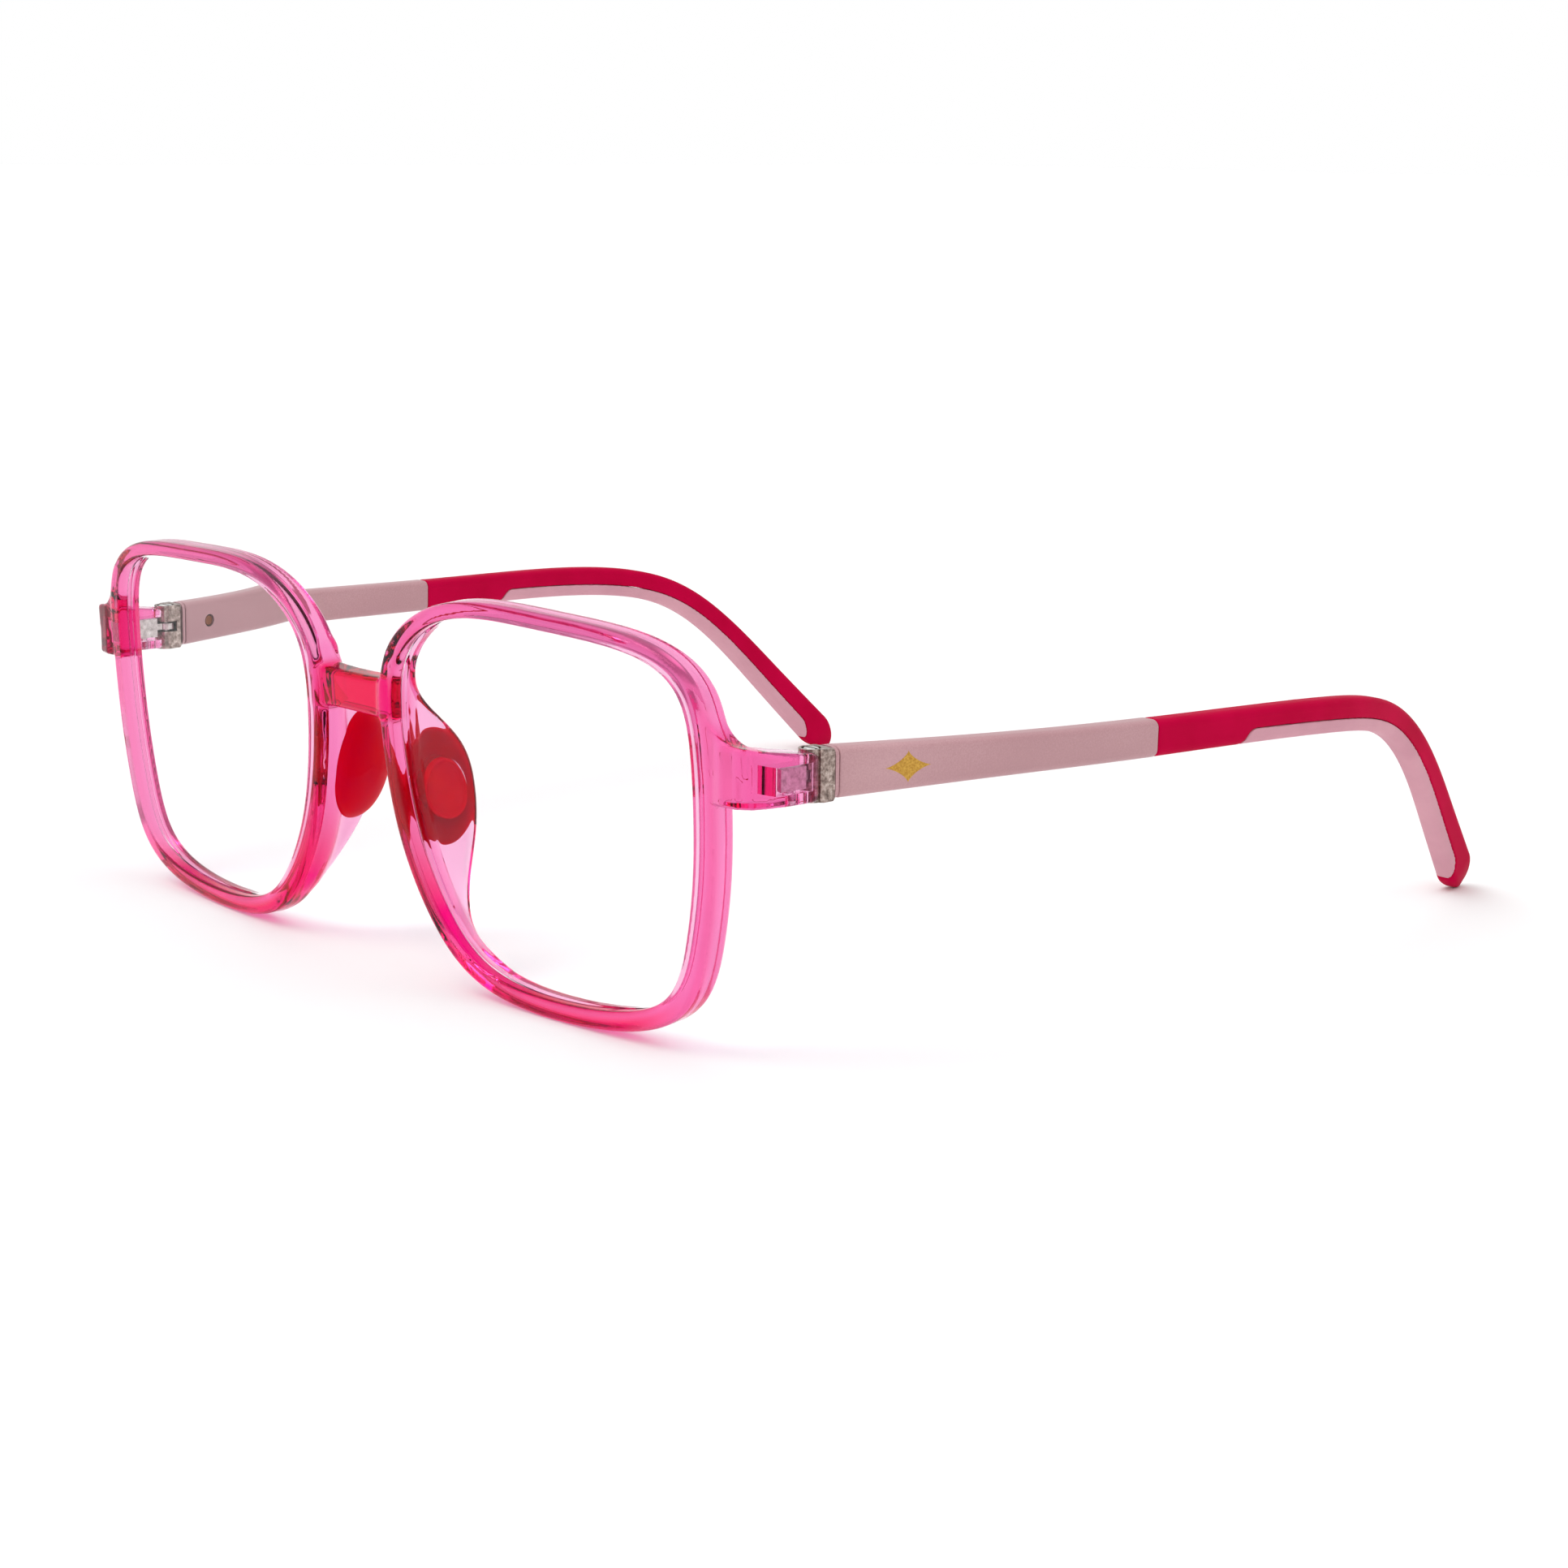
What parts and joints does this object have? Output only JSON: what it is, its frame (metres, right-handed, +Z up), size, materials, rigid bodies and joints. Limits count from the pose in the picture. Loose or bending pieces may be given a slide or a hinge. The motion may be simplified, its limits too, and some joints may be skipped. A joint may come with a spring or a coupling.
{
  "type": "blue light glasses",
  "caption": "Folding glasses with a square translucent front, clear plano lenses, soft nose pads and hinged temples with soft tips.",
  "frame": {"origin": "middle of the glasses' width and depth, at the height of the surface they stand on, temples open", "axes": "+X to the wearer's left, +Y from the front back along the temples, +Z up"},
  "size_m": [0.1436, 0.1332, 0.0457],
  "materials": {
    "clear_pink_nylon": "translucent hot pink, polished",
    "clear_lens": "clear plastic lens, polished",
    "red_silicone": "translucent red silicone, satin",
    "cast_metal": "fine cast grey metal",
    "steel": "bright steel",
    "bronze": "dull bronze",
    "pale_nylon": "satin dusty pink",
    "crimson_rubber": "soft-touch crimson",
    "pale_rubber": "soft-touch pale pink"
  },
  "bodies": {
    "front": {"front_frame": "clear_pink_nylon", "lens_left": "clear_lens", "nose_pad_left": "red_silicone", "hinge_tongue_left": "cast_metal", "tongue_pin_left": "steel", "hinge_screw_left": "steel", "lens_right": "clear_lens", "nose_pad_right": "red_silicone", "hinge_tongue_right": "cast_metal", "tongue_pin_right": "steel", "hinge_screw_right": "steel"},
    "temple_left": {"hinge_cap_left": "cast_metal", "end_plate_left": "steel", "tang_screw_left": "bronze", "temple_arm_left": "pale_nylon", "core_wire_left": "steel", "tip_sleeve_left": "crimson_rubber", "grip_inlay_left": "pale_rubber"},
    "temple_right": {"hinge_cap_right": "cast_metal", "end_plate_right": "steel", "tang_screw_right": "bronze", "temple_arm_right": "pale_nylon", "core_wire_right": "steel", "tip_sleeve_right": "crimson_rubber", "grip_inlay_right": "pale_rubber"}
  },
  "joints": [
    {"name": "temple_left_fold", "type": "hinge", "parent": "front", "child": "temple_left", "pos_m": [0.0626, -0.05153, 0.03084], "axis": [0, 0, 1], "range_deg": [0, 91]},
    {"name": "temple_right_fold", "type": "hinge", "parent": "front", "child": "temple_right", "pos_m": [-0.0626, -0.05153, 0.03084], "axis": [0, 0, -1], "range_deg": [0, 86]}
  ]
}
